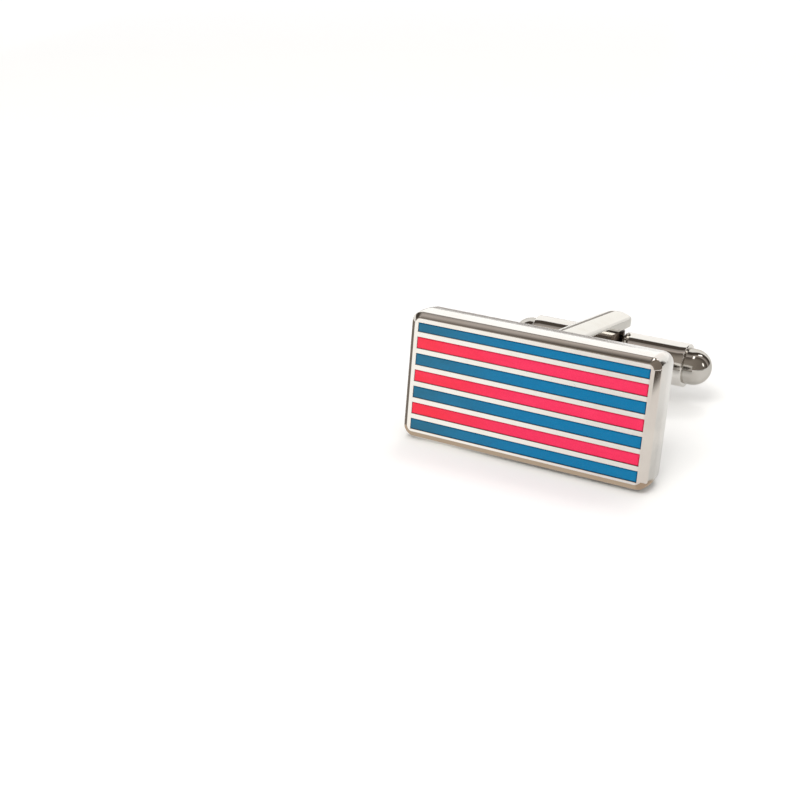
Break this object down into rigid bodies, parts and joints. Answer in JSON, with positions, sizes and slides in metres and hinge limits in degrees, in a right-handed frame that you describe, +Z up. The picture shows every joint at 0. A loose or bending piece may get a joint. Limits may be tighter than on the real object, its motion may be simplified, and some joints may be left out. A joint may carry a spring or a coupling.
{
  "type": "cufflink",
  "caption": "Swivel-bar cufflink: box head inlaid with enamel stripes, forked post and a barrel toggle with ball ends that turns in line to pass a buttonhole.",
  "frame": {"origin": "on the table, under the middle of the overall box, with the cufflink standing as pictured", "axes": "+X along the head to the right for someone facing it, +Y from the face back to the toggle, +Z up; the head leans back about 8 degrees"},
  "size_m": [0.02, 0.02, 0.0101],
  "materials": {
    "bright_plate": "polished bright plating on a solid metal base, a little softer on the head's sides",
    "blue_enamel": "glossy teal-blue enamel, flush with the metal lines",
    "red_enamel": "glossy pink-red enamel, flush with the metal lines",
    "spring_steel": "plain turned steel, hidden inside the swivel"
  },
  "bodies": {
    "link": {"head_shell": "bright_plate", "back_plate": "bright_plate", "enamel_stripe_1": "blue_enamel", "enamel_stripe_2": "red_enamel", "enamel_stripe_3": "blue_enamel", "enamel_stripe_4": "red_enamel", "enamel_stripe_5": "blue_enamel", "enamel_stripe_6": "red_enamel", "enamel_stripe_7": "blue_enamel", "post_frame": "bright_plate", "pivot_pin": "spring_steel", "drag_washer": "spring_steel"},
    "toggle": {"toggle_hub": "bright_plate", "barrel_left": "bright_plate", "barrel_right": "bright_plate", "ball_end_left": "bright_plate", "ball_end_right": "bright_plate"}
  },
  "joints": [
    {"name": "toggle_swivel", "type": "hinge", "parent": "link", "child": "toggle", "pos_m": [0, 0.00799, 0.00333], "axis": [0, 0.1316, 0.9913], "range_deg": [-90, 90]}
  ]
}
